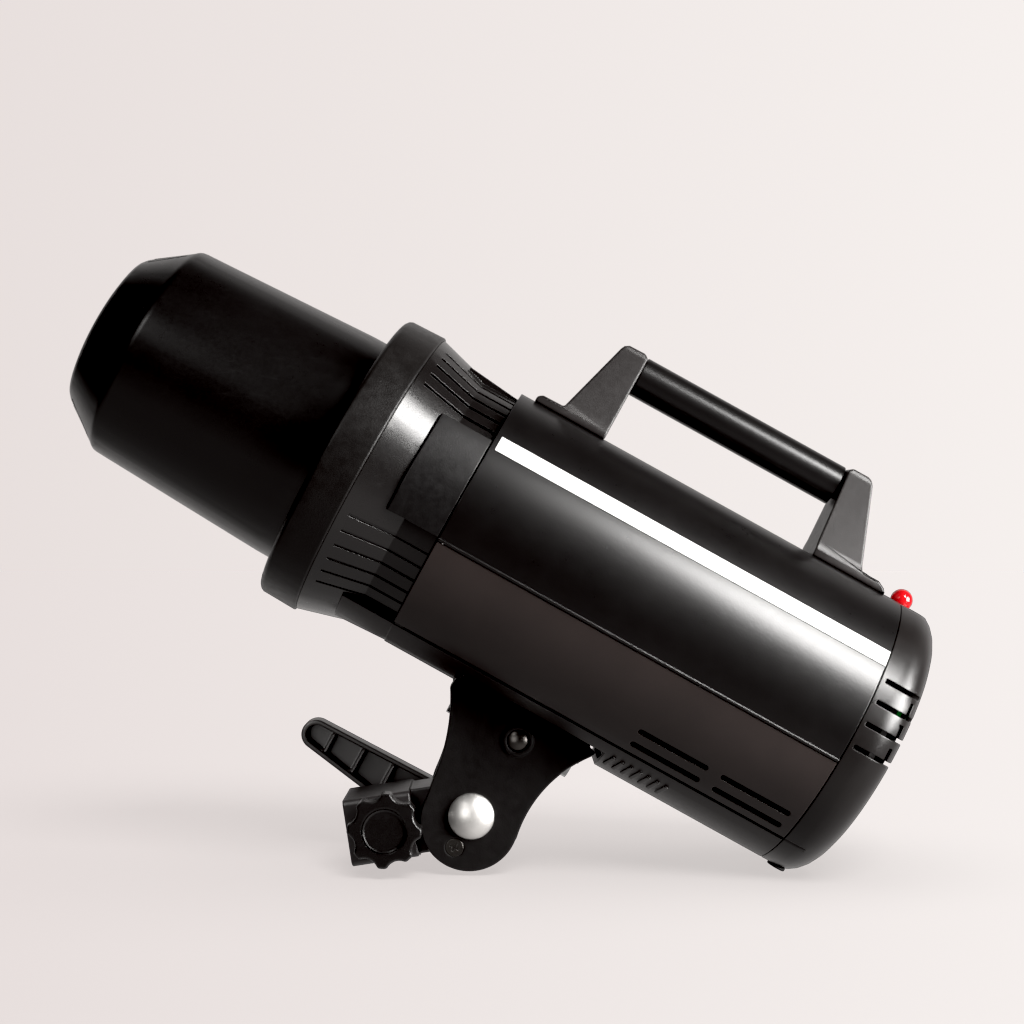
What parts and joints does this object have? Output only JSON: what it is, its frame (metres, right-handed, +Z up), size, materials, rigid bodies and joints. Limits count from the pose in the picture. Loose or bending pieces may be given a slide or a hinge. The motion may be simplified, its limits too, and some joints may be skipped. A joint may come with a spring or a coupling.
{
  "type": "monolight studio strobe",
  "caption": "Studio flash head with bayonet front and protective cap, carrying handle, rear control panel and a tilting stand bracket with lock lever, umbrella tube and star knob.",
  "frame": {"origin": "centre of the stand socket's mouth", "axes": "+X from the lamp's nose towards its rear panel (horizontal), +Y towards the tilt lever's side, +Z up; the lamp axis is pitched 29 degrees nose-up at rest, as it lies on its bracket and rear edge"},
  "size_m": [0.3925, 0.1434, 0.2815],
  "materials": {
    "cast_black": "fine sand-textured black powder coat on die-cast bracket and arm",
    "shell_black": "satin black moulded ABS with a fine grain",
    "shell_charcoal": "smooth satin warm charcoal ABS",
    "rail_black": "satin black ABS rail",
    "bezel_gloss": "semi-gloss black moulding with fine grooves",
    "ring_black": "speckled textured black coat",
    "cap_black": "satin black moulding",
    "pad_black": "matte black soft-touch pad",
    "stripe_white": "white satin inlay strip",
    "handle_grey": "satin charcoal glass-filled nylon",
    "grip_black": "semi-gloss black sleeve",
    "knob_black": "black phenolic-look moulding",
    "zinc_bright": "bright zinc-plated steel",
    "steel_plain": "turned steel",
    "black_oxide": "black-oxide steel screw",
    "alloy": "plain machined or folded aluminium",
    "nylon_natural": "natural nylon",
    "rubber_black": "black rubber",
    "ceramic_white": "glazed white steatite ceramic",
    "reflector_white": "white heat-resistant enamel on aluminium",
    "glass_clear": "clear borosilicate glass",
    "glass_frosted": "frosted quartz glass",
    "display_glass": "dark display window",
    "led_green": "green diffused lens",
    "sensor_red": "translucent red moulded lens",
    "panel_black": "fine matt black panel",
    "button_grey": "grey silicone key",
    "button_red": "red silicone key",
    "board_green": "green circuit board with parts",
    "capacitor_blue": "blue shrink sleeve",
    "copper_wound": "yellow taped winding on ferrite",
    "brass_pin": "plated brass"
  },
  "bodies": {
    "arm": {"receiver_arm": "cast_black"},
    "head": {"bracket_left": "cast_black", "bracket_right": "cast_black", "bracket_bolts": "black_oxide", "friction_discs": "nylon_natural", "disc_screws": "black_oxide", "umbrella_tube": "steel_plain", "pivot_bolt": "zinc_bright", "lever_washer": "zinc_bright", "bottom_rail": "rail_black", "rear_feet": "rubber_black", "lower_shell": "shell_charcoal", "upper_shell": "shell_black", "side_stripes": "stripe_white", "front_bezel": "bezel_gloss", "side_pads": "pad_black", "front_mount_ring": "ring_black", "bayonet_plate": "alloy", "reflector_plate": "reflector_white", "lamp_socket": "ceramic_white", "lamp_base": "brass_pin", "modelling_lamp": "glass_clear", "flash_tube": "glass_frosted", "tube_sockets": "ceramic_white", "chassis_frame": "alloy", "capacitors": "capacitor_blue", "main_board": "board_green", "transformer": "copper_wound", "fan_frame": "panel_black", "control_board": "board_green", "rear_cap": "shell_charcoal", "control_panel": "panel_black", "display_window": "display_glass", "switch_housing": "panel_black", "mains_inlet": "panel_black", "inlet_pins": "brass_pin", "fuse_holder": "panel_black", "sync_jack": "zinc_bright", "ready_led": "led_green", "sensor_dome": "sensor_red", "handle_front_post": "handle_grey", "handle_rear_post": "handle_grey", "handle_grip": "grip_black", "handle_screws": "black_oxide", "panel_screws": "black_oxide"},
    "stand_knob": {"stand_knob": "knob_black", "knob_stud": "steel_plain"},
    "tilt_lever": {"tilt_lever": "knob_black", "lever_insert": "brass_pin"},
    "umbrella_screw": {"umbrella_screw": "black_oxide"},
    "cap": {"protective_cap": "cap_black"},
    "release": {"release_button": "panel_black", "lock_pin": "steel_plain"},
    "fan": {"fan_rotor": "panel_black"},
    "dial": {"power_dial": "knob_black"},
    "model_button": {"button_model": "button_grey"},
    "slave_button": {"button_slave": "button_grey"},
    "test_button": {"button_test": "button_red"},
    "rocker": {"power_switch": "knob_black"},
    "fuse": {"fuse_cap": "knob_black"}
  },
  "joints": [
    {"name": "head_tilt", "type": "hinge", "parent": "arm", "child": "head", "pos_m": [0.05583, 0, 0.00864], "axis": [0, 1, 0], "range_deg": [-35, 110]},
    {"name": "stand_knob_turn", "type": "hinge", "parent": "arm", "child": "stand_knob", "pos_m": [0.01757, -0.03, 0.00353], "axis": [0, 1, 0], "range_deg": [0, 1100]},
    {"name": "tilt_lever_turn", "type": "hinge", "parent": "head", "child": "tilt_lever", "pos_m": [0.05583, 0.03, 0.00864], "axis": [0, 1, 0], "range_deg": [-90, 25]},
    {"name": "umbrella_screw_turn", "type": "hinge", "parent": "head", "child": "umbrella_screw", "pos_m": [0.07665, -0.02, 0.04227], "axis": [0, 1, 0], "range_deg": [0, 765]},
    {"name": "cap_lift_off", "type": "slide", "parent": "head", "child": "cap", "axis": [-0.8746, 0, 0.4848], "range_m": [0, 0.125]},
    {"name": "release_slide", "type": "slide", "parent": "head", "child": "release", "axis": [0.8746, 0, -0.4848], "range_m": [0, 0.005]},
    {"name": "fan_spin", "type": "hinge", "parent": "head", "child": "fan", "pos_m": [0.21011, 0, 0.07863], "axis": [0.8746, 0, -0.4848], "continuous": true},
    {"name": "dial_turn", "type": "hinge", "parent": "head", "child": "dial", "pos_m": [0.23865, 0.022, 0.03936], "axis": [0.8746, 0, -0.4848], "continuous": true},
    {"name": "model_button_press", "type": "slide", "parent": "head", "child": "model_button", "axis": [-0.8746, 0, 0.4848], "range_m": [0, 0.001]},
    {"name": "slave_button_press", "type": "slide", "parent": "head", "child": "slave_button", "axis": [-0.8746, 0, 0.4848], "range_m": [0, 0.001]},
    {"name": "test_button_press", "type": "slide", "parent": "head", "child": "test_button", "axis": [-0.8746, 0, 0.4848], "range_m": [0, 0.001]},
    {"name": "switch_rock", "type": "hinge", "parent": "head", "child": "rocker", "pos_m": [0.21942, -0.026, 0.01458], "axis": [0, 1, 0], "range_deg": [0, 14]},
    {"name": "fuse_cap_turn", "type": "hinge", "parent": "head", "child": "fuse", "pos_m": [0.22333, 0.0345, 0.01585], "axis": [0.8746, 0, -0.4848], "range_deg": [-90, 0]}
  ]
}
